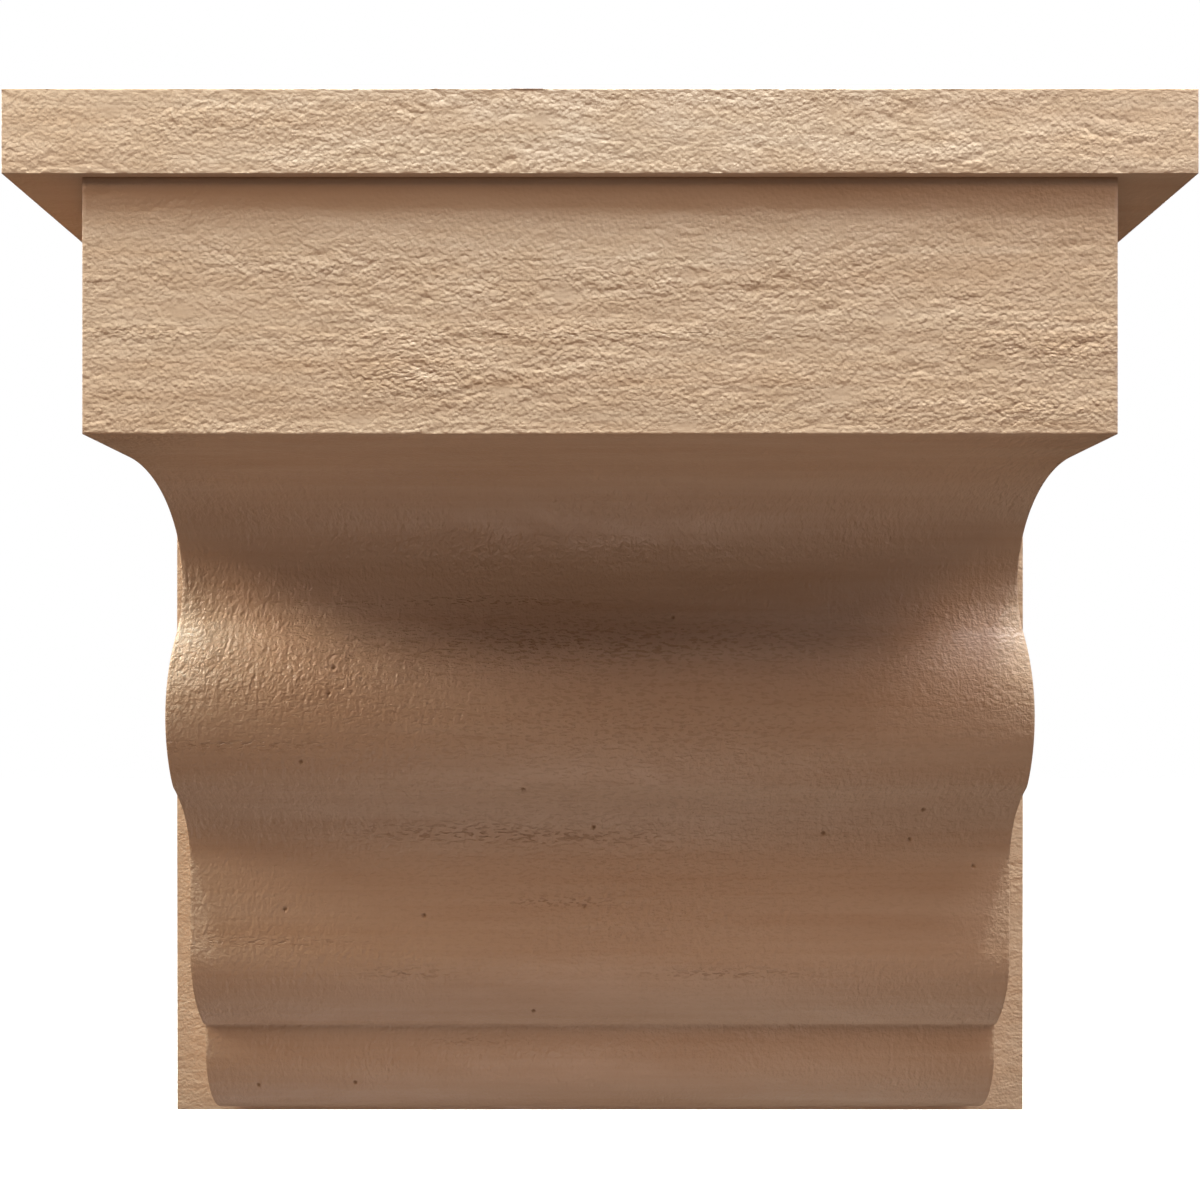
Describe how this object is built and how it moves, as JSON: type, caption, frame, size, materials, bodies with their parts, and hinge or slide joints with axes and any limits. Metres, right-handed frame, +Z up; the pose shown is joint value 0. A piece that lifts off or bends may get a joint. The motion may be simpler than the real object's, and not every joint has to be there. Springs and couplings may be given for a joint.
{
  "type": "corbel",
  "caption": "Wide, shallow wall corbel in rough-sawn timber: an overhanging cap board, a profiled body with cove, round belly, band and rolled foot, and a back board.",
  "frame": {"origin": "centre of the wall face, on the back of the back board, at half of the whole height", "axes": "+Z up; +Y into the wall, so the corbel's front faces -Y; +X along the width"},
  "size_m": [0.3048, 0.1169, 0.3048],
  "materials": {
    "primed_wood": "rough-sawn cedar under one thin coat of satin tan primer"
  },
  "bodies": {
    "root": {"top_board": "primed_wood", "back_board": "primed_wood", "profiled_body": "primed_wood"}
  },
  "joints": []
}
